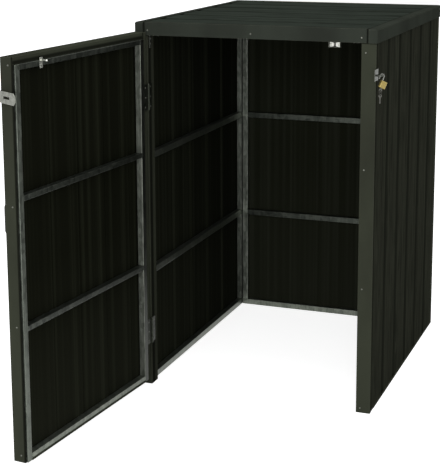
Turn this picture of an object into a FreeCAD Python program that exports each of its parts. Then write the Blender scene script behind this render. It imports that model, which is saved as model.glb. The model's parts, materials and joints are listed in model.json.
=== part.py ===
import FreeCAD, Part
import math
import os

# A steel store for one wheeled refuse bin, with its front door open.
# Millimetres. X runs to the lock side, Y to the back, Z up. The origin is the middle
# of the underside of the back wall's bottom rail.

V = FreeCAD.Vector
X, Y, Z = V(1, 0, 0), V(0, 1, 0), V(0, 0, 1)

# Two places closer than this are the same place
same = 0.01

# Overall size, over the posts and the back sheet. The side roof trims stand a little proud.
width = 745.0
depth = 900.0
height = 1150.0

# Square tube and folded steel
tube = 20.0
tube_wall = 1.5
trim_wall = 1.0

# Plank-profiled sheet
sheet_wall = 0.8
groove_deep = 4.0
groove_mouth = 46.0
groove_floor = 24.0
wall_pitch = 150.0
right_first_groove = 165.0
left_first_groove = 135.0
back_pitch = 138.0
back_first_groove = 57.5
roof_pitch = 150.0
roof_first_groove = 148.0
edge_plank = 45.0

# Wall frames
lower_rail_z = 350.0
upper_rail_z = 720.0
frame_gap = 1.5

# Front posts
hinge_post_wide = 37.0
lock_post_wide = 43.0
post_flange = 15.0
post_return = 45.0

# Roof edge
fascia_tall = 40.0
fascia_return = 45.0
roof_leg = 26.0
cap_return = 22.0
cap_proud = 4.0
cap_corner = 6.0
cap_edge = 3.4
cap_relief = 1.0
corner_leg = 26.0

# Corner brackets under the fascia
bracket_wall = 1.5
bracket_drop = 40.0
bracket_reach = 34.0
bracket_wide = 14.0
bracket_inset = 12.0
bracket_leg_screws = (11.5, 26.5)
bracket_arm_screws = (12.0, 27.0)

# Door
door_angle = 95.0
door_bottom = 24.0
door_lap = 11.0
door_gap = 2.0
door_edge_deep = 38.0
door_tube_proud = 4.5
door_hinge_gap = 8.0
door_edge_inset = 2.0
door_flange = 30.0
door_band = 21.0
door_top_band = 20.0
door_rail_tall = 15.0
door_lower_rail_z = 388.0
door_upper_rail_z = 742.0
free_stile_inset = 5.0
door_first_groove = 112.0
door_pitch = 142.0
door_planks = 5

# Butt hinges
hinge_tall = 80.0
hinge_leaf = 28.0
hinge_leaf_wall = 1.8
knuckle_r = 3.5
hinge_pin_r = 1.75
hinge_fit = 0.05
knuckle_gap = 0.3
knuckle_count = 5
barrel_sides = 20
hinge_foot = 140.0
hinge_head = 228.0

# Hasp, staple and their drop below the fascia
lock_drop = 90.0
hasp_wall = 2.0
hasp_plate_wall = 1.5
hasp_reach = 88.0
hasp_tall = 31.0
hasp_barrel_tall = 28.0
hasp_knuckle_tall = 14.0
hasp_r = 3.0
hasp_pin_r = 1.5
hasp_overhang = 3.5
hasp_plate_long = 33.0
hasp_chamfer = 9.0
hasp_slot_start = 24.0
hasp_slot_long = 35.0
hasp_slot_tall = 7.0
hasp_tilt = 27.0
staple_wall = 2.0
staple_tall = 33.0
staple_front = 17.0
staple_back = 20.0
staple_screw_rise = 12.5
staple_screw_back = 11.0
eye_wire_r = 2.0
eye_bend_r = 7.0
eye_reach = 21.0
eye_behind_hasp = 40.0
wire_sides = 10

# Padlock, hanging open on the staple's eye
shackle_r = 1.75
shackle_bend_r = 6.25
short_leg = 10.5
long_leg = 27.0
leg_play = 1.0
case_wide = 20.0
case_tall = 20.0
case_thick = 11.0
case_corner = 3.0
case_drop = 11.0
spare_hole_deep = 8.0
shackle_fit = 0.08
shackle_hang = 2.2
padlock_tilt = 26.0
padlock_turn = 45.0
plug_r = 3.5
plug_long = 12.0
plug_floor = 2.0
key_wall = 1.6
key_blade = 4.6
key_bow_r = 5.5
key_hole_r = 2.2
key_rim = 1.2
key_long = 22.0
key_stand_off = 1.0
key_sides = 16
ring_sides = 20
ring_r = 5.5
ring_half = 0.7

# Roller catch under the fascia, and its spear on the door
catch_inset = 81.5
catch_y = 12.0
catch_half = 18.0
catch_deep = 14.0
catch_tall = 16.0
catch_wall = 1.2
roller_r = 5.0
roller_pin_r = 1.0
carrier_deep = 7.0
carrier_lip = 1.5
carrier_web = 2.0
spear_drop = 20.0
spear_neck = 1.7
spear_head = 3.2
spear_long = 21.0
spear_barb = 4.6
spear_point = 3.2
spear_tall = 4.0
spear_plate_tall = 28.0
spear_plate_wide = 13.0
spear_plate_rise = 7.0
spear_screw_drop = 15.0
running_gap = 0.3

# Pull handle
handle_tall = 95.0
handle_z = 636.0
handle_out = 32.0
handle_inset = 45.0
handle_wide = 14.0
handle_bar = 9.0
handle_corner = 18.0
handle_edge = 2.5

# Screw heads, and their places from the frame's ends and rails
head_r = 2.8
head_taper = 0.7
head_sides = 8
head_tall = 1.6
small_head_tall = 0.9
flush_head_tall = 0.3
post_screw_inset = 12.5
post_screw_foot = 15.0
post_screw_over_lower = 34.0
post_screw_over_upper = 22.0
post_screw_head = 28.0
fascia_screw_rise = 15.0
fascia_screw_left = 37.5
fascia_screw_middle = -5.0
fascia_screw_right = 43.5
edge_screw_inset = 24.0
edge_screw_foot = 20.0
edge_screw_over_lower = 16.0
edge_screw_under_upper = 12.0
edge_screw_head = 21.0
hinge_screw_pitch = 30.0
hinge_screw_reach = 17.4
hasp_screw_rise = 9.0
hasp_screw_places = (8.0, 22.0)

# Planes that several pieces share
half = width / 2
back = tube / 2 + groove_deep + sheet_wall
front = back - depth
skin = half - trim_wall
rib = skin - groove_deep - sheet_wall
inner = rib - tube
roof_top = height - trim_wall
roof_rib = roof_top - groove_deep - sheet_wall
fascia_z = height - fascia_tall
hinge_return = -half + hinge_post_wide
lock_return = half - lock_post_wide
hinge_heights = (hinge_foot, fascia_z - hinge_head)
lock_z = fascia_z - lock_drop
catch_x = lock_return - catch_inset

# The door's planes, as it stands closed
hinge_x = hinge_return + knuckle_r
door_front = front - door_gap - door_tube_proud - door_edge_deep
door_rear = front - door_gap - door_tube_proud
hinge_y = door_rear + knuckle_r
door_tube_rear = front - door_gap
door_tube_front = door_tube_rear - tube
door_skin = door_tube_front - groove_deep - sheet_wall
door_left = hinge_x + door_hinge_gap
door_right = half - door_edge_inset
door_top = fascia_z + door_lap
spear_z = door_top - spear_drop
hasp_x = door_right + hasp_overhang
hasp_y = door_front - hasp_r
eye_y = hasp_y + eye_behind_hasp


def block(x0, x1, y0, y1, z0, z1):
    """A box between two values along each axis."""
    return Part.makeBox(x1 - x0, y1 - y0, z1 - z0, V(x0, y0, z0))


def rod(r, start, end):
    """A round bar from one point to another."""
    along = end - start
    return Part.makeCylinder(r, along.Length, start, along)


def prism(points, u, v, along, start=V(0, 0, 0)):
    """A polygon in the plane of u and v, drawn from start and extruded."""
    corners = [start + u * a + v * b for a, b in points]
    return Part.Face(Part.makePolygon(corners + corners[:1])).extrude(along)


def folded(points, wall):
    """The polygon of a sheet of even thickness, folded along a line of points.

    The sheet lies to the left of the line as it is followed.
    """
    steps = [(q[0] - p[0], q[1] - p[1]) for p, q in zip(points, points[1:])]
    sides = [(-dy / math.hypot(dx, dy), dx / math.hypot(dx, dy)) for dx, dy in steps]
    inside = []
    for i, (a, b) in enumerate(points):
        n = sides[max(i - 1, 0)]
        m = sides[min(i, len(sides) - 1)]
        mitre = wall / (1 + n[0] * m[0] + n[1] * m[1])
        inside.append((a + (n[0] + m[0]) * mitre, b + (n[1] + m[1]) * mitre))
    return points + inside[::-1]


def planks(start, end, grooves):
    """A sheet's folded line from start to end, with a tapered groove at each centre."""
    line = [(start, 0.0)]
    for c in grooves:
        line += [
            (c - groove_mouth / 2, 0.0),
            (c - groove_floor / 2, groove_deep),
            (c + groove_floor / 2, groove_deep),
            (c + groove_mouth / 2, 0.0),
        ]
    return folded(line + [(end, 0.0)], sheet_wall)


def spaced(first, pitch, end):
    """Groove centres from first on, as long as a plank's edge is left before end."""
    count = int((end - edge_plank - first) / pitch) + 1
    return [first + pitch * i for i in range(count)]


def square_tube(x0, x1, y0, y1, z0, z1, axis):
    """A square tube that fills a box and is open at both ends along an axis."""
    w = tube_wall
    a = 0 if axis == "X" else w
    b = 0 if axis == "Y" else w
    c = 0 if axis == "Z" else w
    bore = block(x0 + a, x1 - a, y0 + b, y1 - b, z0 + c, z1 - c)
    return block(x0, x1, y0, y1, z0, z1).cut(bore)


def ring_of(r, sides):
    """The corners of a regular polygon in a circle."""
    step = 2 * math.pi / sides
    return [(r * math.cos(i * step), r * math.sin(i * step)) for i in range(sides)]


def barrel(r, x, y, z0, z1):
    """A hinge barrel's many-sided outside, upright between two heights."""
    return prism(ring_of(r, barrel_sides), X, Y, Z * (z1 - z0), V(x, y, z0))


def wire_end(at, u, v, r):
    """A wire's many-sided section in the plane of u and v."""
    corners = [at + u * a + v * b for a, b in ring_of(r, wire_sides)]
    return Part.Face(Part.makePolygon(corners + corners[:1]))


def screw_head(at, out, r=head_r, tall=head_tall):
    """A low tapered screw head that sits on a face at a point and stands out of it."""
    rims = []
    for radius, z in ((r, 0), (r * head_taper, tall)):
        corners = [V(a, b, z) for a, b in ring_of(radius, head_sides)]
        rims.append(Part.makePolygon(corners + corners[:1]))
    head = Part.makeLoft(rims, True, True)
    head.Placement = FreeCAD.Placement(at, FreeCAD.Rotation(Z, out))
    return head


def mirrored(shape):
    """The shape seen in the mirror between the two side walls."""
    return shape.mirror(V(0, 0, 0), X)


def as_open(shape):
    """A door piece moved from the closed door to the open one."""
    return shape.rotated(V(hinge_x, hinge_y, 0), Z, -door_angle)


# Walls and roof

def right_sheet():
    line = planks(front + trim_wall, back, spaced(front + right_first_groove, wall_pitch, back))
    return prism(line, Y, -X, Z * roof_rib, X * skin)


def left_sheet():
    line = planks(-back, -front - trim_wall, [-c for c in left_grooves()])
    return prism(line, -Y, X, Z * roof_rib, -X * skin)


def left_grooves():
    return spaced(front + left_first_groove, wall_pitch, back)[::-1]


def back_sheet():
    edge = skin - sheet_wall
    grooves = spaced(back_first_groove - skin, back_pitch, skin)
    line = planks(-edge, edge, [-c for c in grooves[::-1]])
    return prism(line, -X, -Y, Z * roof_rib, Y * back)


def roof_sheet():
    grooves = spaced(front + roof_first_groove, roof_pitch, back)
    line = planks(-back, -front - trim_wall, [-c for c in grooves[::-1]])
    return prism(line, -Y, -Z, X * (2 * skin), V(-skin, 0, roof_top))


def side_rail(z):
    return square_tube(inner, rib, front + trim_wall, -tube / 2, z, z + tube, "Y")


def side_long_rail(z):
    return square_tube(inner, rib, front + trim_wall, tube / 2, z, z + tube, "Y")


def side_upright():
    return square_tube(inner, rib, -tube / 2, tube / 2, tube, roof_rib - tube, "Z")


def back_long_rail(z):
    edge = inner - frame_gap
    return square_tube(-edge, edge, -tube / 2, tube / 2, z, z + tube, "X")


def back_rail(z):
    edge = inner - frame_gap - tube
    return square_tube(-edge, edge, -tube / 2, tube / 2, z, z + tube, "X")


def back_upright():
    edge = inner - frame_gap
    return square_tube(edge - tube, edge, -tube / 2, tube / 2, tube, roof_rib - tube, "Z")


# Front posts and roof trims

def post(wide):
    """The post on the hinge side, folded round the wall's front edge."""
    line = [
        (-half, front + post_flange),
        (-half, front),
        (-half + wide, front),
        (-half + wide, front + post_return),
    ]
    return prism(folded(line, trim_wall), X, Y, Z * fascia_z)


def fascia():
    line = [(front, height), (front, fascia_z), (front + fascia_return, fascia_z)]
    face = prism(folded(line, trim_wall), Y, Z, X * width, -X * half)
    clear = skin - sheet_wall
    notch = block(clear, half, front + trim_wall, front + fascia_return, fascia_z, fascia_z + trim_wall)
    face = face.cut(notch).cut(mirrored(notch))
    edge = half - roof_leg
    low = roof_top - cap_relief
    end = block(edge, half, front, front + trim_wall, low, height)
    face = face.cut(end).cut(mirrored(end))
    leg = block(-edge, edge, front + trim_wall, front + roof_leg, roof_top, height)
    return face.fuse(leg).removeSplitter()


def cap_form(start, proud, low, high, corner, edge):
    """A block over the lock side's wall, with two round corners and a chamfered top."""
    end = half + proud
    shape = block(start, end, front - proud, back + proud, low, high)
    upright = [e for e in shape.Edges if all(abs(p.X - end) < same for p in e.Vertexes)]
    upright = [e for e in upright if abs(e.Vertexes[0].Z - e.Vertexes[1].Z) > same]
    shape = shape.makeFillet(corner, upright)
    rim = [e for e in shape.Edges if all(abs(p.Z - high) < same for p in e.Vertexes)]
    rim = [e for e in rim if max(p.X for p in e.Vertexes) > start + same]
    return shape.makeChamfer(edge, rim)


def roof_cap():
    """The trim over the lock side's top edge, which turns round both its corners."""
    t = trim_wall
    outside = cap_form(half - roof_leg, cap_proud, fascia_z, height, cap_corner, cap_edge)
    hollow = cap_form(0, cap_proud - t, fascia_z - t, roof_top, cap_corner - t, cap_edge - t)
    cap = outside.cut(hollow)
    low, high = fascia_z - t, height + t
    for y0, y1 in ((front - cap_proud, front), (back, back + cap_proud)):
        cap = cap.cut(block(0, half - cap_return, y0, y1, low, high))
    return cap


def back_trim():
    t = trim_wall
    edge = half - roof_leg
    wall = block(-skin, skin, back, back + t, fascia_z, roof_top)
    end = block(edge, skin, back, back + t, roof_top - cap_relief, roof_top)
    leg = block(-edge, edge, back - roof_leg, back + t, roof_top, height)
    return wall.cut(end).cut(mirrored(end)).fuse(leg).removeSplitter()


def rear_corner():
    line = [
        (half - corner_leg, back + trim_wall),
        (half, back + trim_wall),
        (half, back + trim_wall - corner_leg),
    ]
    strip = folded(line, -trim_wall)
    return prism(strip, X, Y, Z * fascia_z)


def corner_bracket():
    """An angle between the hinge post's return and the fascia's return."""
    y0 = front + bracket_inset
    w = bracket_wall
    leg = block(hinge_return, hinge_return + w, y0, y0 + bracket_wide, fascia_z - bracket_drop, fascia_z)
    arm = block(hinge_return, hinge_return + bracket_reach, y0, y0 + bracket_wide, fascia_z - w, fascia_z)
    return leg.fuse(arm).removeSplitter()


def corner_brackets():
    left = corner_bracket()
    right = mirrored(left).translated(X * (lock_return + hinge_return))
    return [left, right]


# Door

def door_edge(side):
    """The folded channel along one upright edge: side -1 is the hinge edge."""
    x0 = door_left if side < 0 else door_right
    line = [
        (x0 - side * door_flange, door_skin),
        (x0 - side * door_flange, door_front),
        (x0, door_front),
        (x0, door_rear),
    ]
    if side < 0:
        line.append((x0 + door_band, door_rear))
    strip = folded(line, trim_wall * side)
    return prism(strip, X, Y, Z * (door_top - door_bottom), Z * door_bottom)


def door_cross_edge(side):
    """The folded channel along the bottom, -1, or the top edge, between the uprights."""
    z0 = door_bottom if side < 0 else door_top
    line = [
        (door_skin, z0 - side * door_flange),
        (door_front, z0 - side * door_flange),
        (door_front, z0),
        (door_rear, z0),
    ]
    if side > 0:
        line.append((door_rear, z0 - door_top_band))
    strip = folded(line, -trim_wall * side)
    x0, x1 = door_left + trim_wall, door_right - trim_wall
    shape = prism(strip, Y, Z, X * (x1 - x0), X * x0)
    inside = door_skin - door_front
    low, high = (z0 - door_flange, z0 - trim_wall) if side > 0 else (z0 + trim_wall, z0 + door_flange)
    for a, b in ((x0, door_left + door_flange), (door_right - door_flange, x1)):
        shape = shape.cut(block(a, b, door_front, door_front + inside, low, high))
        shape = shape.cut(block(a, b, door_front, door_front + trim_wall, min(low, z0), max(high, z0)))
    if side > 0:
        band = block(x0, door_left + door_band, door_rear - trim_wall, door_rear, low, z0)
        shape = shape.cut(band)
    return shape.cut(door_edge(-1)).cut(door_edge(1))


def door_sheet():
    grooves = [hinge_x + door_first_groove + door_pitch * i for i in range(door_planks - 1)]
    line = planks(door_left + trim_wall, door_right - trim_wall, grooves)
    tall = door_top - door_bottom - 2 * trim_wall
    return prism(line, X, Y, Z * tall, V(0, door_skin, door_bottom + trim_wall))


def door_upright(x0):
    top = door_top - door_top_band
    return square_tube(x0, x0 + tube, door_tube_front, door_tube_rear, door_bottom + trim_wall, top, "Z")


hinge_stile_x = door_left + door_band
free_stile_x = door_right - free_stile_inset - tube


def door_rail(z, tall):
    x0, x1 = hinge_stile_x + tube, free_stile_x
    return square_tube(x0, x1, door_tube_front, door_tube_rear, z, z + tall, "X")


# Hinges

def knuckles(low, tall, mine):
    """Lengths of a hinge's barrel that belong to one leaf: the even or the odd ones."""
    each = tall / knuckle_count
    return [
        (low + each * i + knuckle_gap / 2, low + each * (i + 1) - knuckle_gap / 2)
        for i in range(knuckle_count)
        if i % 2 == mine
    ]


def hinge_leaf_on(low, mine):
    """A leaf whose plate runs along +X behind the barrel, as the door's does when closed."""
    plate_y = hinge_y - knuckle_r
    start = hinge_x + knuckle_r + 2 * knuckle_gap
    end = hinge_x + hinge_leaf
    high = low + hinge_tall
    leaf = block(start, end, plate_y, plate_y + hinge_leaf_wall, low, high)
    for z0, z1 in knuckles(low, hinge_tall, mine):
        ring = barrel(knuckle_r, hinge_x, hinge_y, z0, z1)
        root = block(hinge_x, start, plate_y, plate_y + hinge_leaf_wall, z0, z1)
        leaf = leaf.fuse(ring).fuse(root)
    bore = rod(hinge_pin_r + hinge_fit, V(hinge_x, hinge_y, low), V(hinge_x, hinge_y, high))
    return leaf.cut(bore).removeSplitter()


def fixed_leaf(low):
    """The same leaf turned on to the post's return."""
    leaf = hinge_leaf_on(low, 0)
    return leaf.mirror(V(hinge_x, hinge_y, 0), V(1, -1, 0))


def hinge_pin(low):
    return rod(hinge_pin_r, V(hinge_x, hinge_y, low), V(hinge_x, hinge_y, low + hinge_tall))


def hinge_screws(low, on_door):
    """Screw heads in a row down the middle of a leaf."""
    heads = []
    reach = hinge_screw_reach
    face = knuckle_r - hinge_leaf_wall
    for i in (-1, 0, 1):
        z = low + hinge_tall / 2 + i * hinge_screw_pitch
        if on_door:
            at, out = V(hinge_x + reach, hinge_y - face, z), Y
        else:
            at, out = V(hinge_x - face, hinge_y + reach, z), X
        heads.append(screw_head(at, out, head_r, small_head_tall))
    return heads


# Hasp and staple

def hasp_plate():
    """The plate on the door's face, with the outer knuckles of the hasp's barrel."""
    face = door_front
    low, high = lock_z - hasp_tall / 2, lock_z + hasp_tall / 2
    gap = hasp_knuckle_tall / 2 + knuckle_gap
    clear = hasp_r + 2 * knuckle_gap
    plate = block(door_right - hasp_plate_long, hasp_x - clear, face - hasp_plate_wall, face, low, high)
    ends = hasp_barrel_tall / 2
    for z0, z1 in ((lock_z - ends, lock_z - gap), (lock_z + gap, lock_z + ends)):
        plate = plate.fuse(block(hasp_x - clear, hasp_x, face - hasp_plate_wall, face, z0, z1))
        plate = plate.fuse(barrel(hasp_r, hasp_x, hasp_y, z0, z1))
    bore = rod(hasp_pin_r + hinge_fit, V(hasp_x, hasp_y, low), V(hasp_x, hasp_y, high))
    return plate.cut(bore).removeSplitter()


def hasp_pin():
    ends = hasp_barrel_tall / 2
    return rod(hasp_pin_r, V(hasp_x, hasp_y, lock_z - ends), V(hasp_x, hasp_y, lock_z + ends))


def hasp_strap():
    """The strap, tilted out from the door's edge, with its slot for the staple."""
    tall = hasp_tall / 2
    outside = hasp_x + hasp_r
    inside = outside - hasp_wall
    clear = hasp_r + 2 * knuckle_gap
    outline = [
        (clear, -tall),
        (hasp_reach - hasp_chamfer, -tall),
        (hasp_reach, hasp_chamfer - tall),
        (hasp_reach, tall - hasp_chamfer),
        (hasp_reach - hasp_chamfer, tall),
        (clear, tall),
    ]
    strap = prism(outline, Y, Z, X * hasp_wall, V(inside, hasp_y, lock_z))
    k = hasp_knuckle_tall / 2
    strap = strap.fuse(block(inside, outside, hasp_y, hasp_y + clear, lock_z - k, lock_z + k))
    strap = strap.fuse(barrel(hasp_r, hasp_x, hasp_y, lock_z - k, lock_z + k))
    s0 = hasp_y + hasp_slot_start
    s1 = s0 + hasp_slot_long
    r = hasp_slot_tall / 2
    slot = block(inside, outside, s0 + r, s1 - r, lock_z - r, lock_z + r)
    for y in (s0 + r, s1 - r):
        slot = slot.fuse(rod(r, V(inside, y, lock_z), V(outside, y, lock_z)))
    bore = rod(hasp_pin_r + hinge_fit, V(hasp_x, hasp_y, lock_z - k), V(hasp_x, hasp_y, lock_z + k))
    strap = strap.cut(slot).cut(bore).removeSplitter()
    return as_open(strap.rotated(V(hasp_x, hasp_y, 0), Z, -hasp_tilt))


def staple_plate():
    low, high = lock_z - staple_tall / 2, lock_z + staple_tall / 2
    return block(half, half + staple_wall, front - staple_front, front + staple_back, low, high)


def staple_eye():
    """A level loop of round wire that stands out of the plate."""
    bend_x = half + eye_reach - eye_bend_r
    middle = V(bend_x, eye_y, lock_z)
    near = wire_end(middle - Y * eye_bend_r, Y, Z, eye_wire_r)
    far = wire_end(middle + Y * eye_bend_r, Y, Z, eye_wire_r)
    leg = X * (half + staple_wall - bend_x)
    return near.revolve(middle, Z, 180).fuse(near.extrude(leg)).fuse(far.extrude(leg)).removeSplitter()


# Padlock, drawn upright about the middle of its shackle's bend and then hung

def hang_point():
    """Where the shackle's inside hangs on the eye: half way round the rear bend."""
    turn = math.radians(padlock_turn)
    bend_x = half + eye_reach - eye_bend_r
    return V(bend_x + eye_bend_r * math.cos(turn), eye_y + eye_bend_r * math.sin(turn), lock_z)


def hung(shape):
    tilted = shape.rotated(V(0, 0, 0), Y, padlock_tilt)
    return tilted.rotated(V(0, 0, 0), Z, padlock_turn).translated(hang_point() - Z * shackle_hang)


def shackle():
    side = X * shackle_bend_r
    end = wire_end(-side, X, Y, shackle_r)
    bow = end.revolve(V(0, 0, 0), Y, 180)
    bow = bow.fuse(end.extrude(Z * -short_leg))
    bow = bow.fuse(rod(shackle_r, side, side - Z * long_leg))
    return hung(bow.removeSplitter())


case_x = 2 * shackle_bend_r


def padlock_case():
    """The case, turned half round on the long leg, with its two leg holes and plug bore."""
    x0, x1 = case_x - case_wide / 2, case_x + case_wide / 2
    y = case_thick / 2
    top, foot = -case_drop, -case_drop - case_tall
    case = block(x0, x1, -y, y, foot, top)
    upright = [e for e in case.Edges if abs(e.Vertexes[0].Z - e.Vertexes[1].Z) > case_tall / 2]
    case = case.makeFillet(case_corner, upright)
    side = X * shackle_bend_r
    case = case.cut(rod(shackle_r + shackle_fit, side + Z * top, side - Z * (long_leg + leg_play)))
    other = side + X * case_x + Z * top
    case = case.cut(rod(shackle_r + 2 * shackle_fit, other, other - Z * spare_hole_deep))
    case = case.cut(rod(plug_r + hinge_fit, V(case_x, 0, foot), V(case_x, 0, foot + plug_long + hinge_fit)))
    return hung(case)


def lock_plug():
    foot = -case_drop - case_tall
    plug = rod(plug_r, V(case_x, 0, foot), V(case_x, 0, foot + plug_long))
    k = key_blade / 2
    slot = block(case_x - k, case_x + k, -key_wall / 2, key_wall / 2, foot, foot + plug_long - plug_floor)
    return hung(plug.cut(slot))


# The ring's hole under a key's middle, the key under the padlock, and the ring's play in a hole
key_hole_drop = key_bow_r - key_hole_r - key_rim
key_z = -case_drop - case_tall - key_stand_off - key_bow_r
ring_rest = key_hole_r - ring_half * math.sqrt(2) - running_gap


def key_shape(length):
    """A flat key with its bow's middle at the origin and its blade upwards."""
    wall = Y * key_wall
    bow = prism(ring_of(key_bow_r, key_sides), X, Z, wall, wall * -0.5)
    k = key_blade / 2
    blade = block(-k, k, -key_wall / 2, key_wall / 2, 0, length)
    hole = rod(key_hole_r, -wall - Z * key_hole_drop, wall - Z * key_hole_drop)
    return bow.fuse(blade).cut(hole).removeSplitter()


def lock_key():
    """The key in the lock."""
    length = key_bow_r + key_stand_off + plug_long - plug_floor
    return hung(key_shape(length).translated(V(case_x, 0, key_z)))


def key_hole():
    """The middle of the hole in the lock's key, as it hangs."""
    return hung(Part.Vertex(V(case_x, 0, key_z - key_hole_drop))).Point


def ring_middle():
    return key_hole() - Z * (ring_rest + ring_r)


def key_ring():
    """A flat-wound ring of square section."""
    turn = math.radians(padlock_turn)
    side = V(math.cos(turn), math.sin(turn), 0)
    start = ring_middle() - side * ring_half
    along, flat = side * (2 * ring_half), Z.cross(side)
    ring = prism(ring_of(ring_r + ring_half, ring_sides), flat, Z, along, start)
    return ring.cut(prism(ring_of(ring_r - ring_half, ring_sides), flat, Z, along, start))


def spare_key():
    """A second key that hangs from the ring, blade down."""
    key = key_shape(key_long).rotated(V(0, 0, 0), X, 180)
    key = key.rotated(V(0, 0, 0), Z, padlock_turn)
    return key.translated(ring_middle() - Z * (ring_r + ring_rest + key_hole_drop))


# Roller catch

def catch_body():
    """A channel under the fascia's return, open to the front for the spear."""
    y0, y1 = front + catch_y - catch_deep / 2, front + catch_y + catch_deep / 2
    x0, x1 = catch_x - catch_half, catch_x + catch_half
    shell = block(x0, x1, y0, y1, fascia_z - catch_tall, fascia_z)
    t = catch_wall
    return shell.cut(block(x0 + t, x1 - t, y0, y1, fascia_z - catch_tall + t, fascia_z - t))


def roller_x():
    return spear_neck + running_gap + roller_r


def catch_carrier():
    """A fork that slides in the channel and holds the roller's pin, on the right."""
    low = fascia_z - catch_tall + catch_wall + running_gap
    high = fascia_z - catch_wall - running_gap
    x, y = catch_x + roller_x(), front + catch_y
    web = x + roller_r + running_gap
    y0, y1 = y - carrier_deep / 2, y + carrier_deep / 2
    t = catch_wall
    fork = block(x - carrier_lip, web + carrier_web, y0, y1, low, high)
    fork = fork.cut(block(x - carrier_lip, web, y0, y1, low + t, high - t))
    return fork.fuse(rod(roller_pin_r, V(x, y, low + t), V(x, y, high - t))).removeSplitter()


def catch_roller():
    low = fascia_z - catch_tall + 2 * (catch_wall + running_gap)
    high = fascia_z - 2 * (catch_wall + running_gap)
    x, y = catch_x + roller_x(), front + catch_y
    wheel = rod(roller_r, V(x, y, low), V(x, y, high))
    return wheel.cut(rod(roller_pin_r + hinge_fit, V(x, y, low), V(x, y, high)))


def other_side(shape):
    """The catch's matching piece on the other side of the spear."""
    return shape.mirror(V(catch_x, 0, 0), X)


def catch_spear():
    """The spear and its plate on the door's top rail."""
    face = door_tube_rear
    high = spear_z + spear_plate_rise
    w = spear_plate_wide / 2
    plate = block(catch_x - w, catch_x + w, face, face + catch_wall, high - spear_plate_tall, high)
    outline = [
        (-spear_neck, catch_wall),
        (-spear_neck, spear_long - spear_barb),
        (-spear_head, spear_long - spear_point),
        (-spear_neck / 2, spear_long),
        (spear_neck / 2, spear_long),
        (spear_head, spear_long - spear_point),
        (spear_neck, spear_long - spear_barb),
        (spear_neck, catch_wall),
    ]
    spear = prism(outline, X, Y, Z * spear_tall, V(catch_x, face, spear_z - spear_tall / 2))
    return plate.fuse(spear).removeSplitter()


# Handle

def pull_handle():
    """A bow on the door's face, with its feet on the plank."""
    x1 = door_right - handle_inset + handle_wide / 2
    x0 = x1 - handle_wide
    out = door_front - handle_out
    z0, z1 = handle_z, handle_z + handle_tall
    bow = block(x0, x1, out, door_skin, z0, z1)
    ends = [e for e in bow.Edges if all(abs(p.Y - out) < same for p in e.Vertexes)]
    ends = [e for e in ends if abs(e.Vertexes[0].X - e.Vertexes[1].X) > handle_wide / 2]
    bow = bow.makeFillet(handle_corner, ends)
    grip = out + handle_bar
    gap = block(x0, x1, grip, door_skin, z0 + handle_bar, z1 - handle_bar)
    ends = [e for e in gap.Edges if all(abs(p.Y - grip) < same for p in e.Vertexes)]
    ends = [e for e in ends if abs(e.Vertexes[0].X - e.Vertexes[1].X) > handle_wide / 2]
    gap = gap.makeFillet(handle_corner - handle_bar, ends)
    bow = bow.cut(gap)
    sides = [f for f in bow.Faces if abs(abs(f.normalAt(0, 0).x) - 1) < same]
    rims = [e for f in sides for e in f.Edges if min(p.Y for p in e.Vertexes) < door_skin - same]
    return bow.makeChamfer(handle_edge, rims)


# Screw heads

def frame_screws():
    post_heights = (
        post_screw_foot,
        lower_rail_z + post_screw_over_lower,
        upper_rail_z + post_screw_over_upper,
        fascia_z - post_screw_head,
    )
    heads = [screw_head(V(lock_return + post_screw_inset, front, z), -Y) for z in post_heights]
    for x in (fascia_screw_left - half, fascia_screw_middle, half - fascia_screw_right):
        heads.append(screw_head(V(x, front, fascia_z + fascia_screw_rise), -Y))
    for low in hinge_heights:
        heads += hinge_screws(low, False)
    for z in (lock_z - staple_screw_rise, lock_z + staple_screw_rise):
        at = V(half + staple_wall, front + staple_screw_back, z)
        heads.append(screw_head(at, X, head_r, flush_head_tall))
    y = front + bracket_inset + bracket_wide / 2
    for drop in bracket_leg_screws:
        heads.append(screw_head(V(hinge_return + bracket_wall, y, fascia_z - drop), X))
        heads.append(screw_head(V(lock_return - bracket_wall, y, fascia_z - drop), -X))
    for reach in bracket_arm_screws:
        heads.append(screw_head(V(hinge_return + reach, y, fascia_z - bracket_wall), -Z))
        heads.append(screw_head(V(lock_return - reach, y, fascia_z - bracket_wall), -Z))
    return heads


def door_screws():
    edge_heights = (
        door_bottom + edge_screw_foot,
        door_lower_rail_z + edge_screw_over_lower,
        door_upper_rail_z - edge_screw_under_upper,
        door_top - edge_screw_head,
    )
    heads = [screw_head(V(door_right, door_front + edge_screw_inset, z), X) for z in edge_heights]
    for low in hinge_heights:
        heads += hinge_screws(low, True)
    for z in (lock_z - hasp_screw_rise, lock_z + hasp_screw_rise):
        for x in hasp_screw_places:
            at = V(door_right - hasp_plate_long + x, door_front - hasp_plate_wall, z)
            heads.append(screw_head(at, -Y, head_r, small_head_tall))
    at = V(catch_x, door_tube_rear + catch_wall, spear_z - spear_screw_drop)
    heads.append(screw_head(at, Y, head_r, small_head_tall))
    return [as_open(h) for h in heads]


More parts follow.
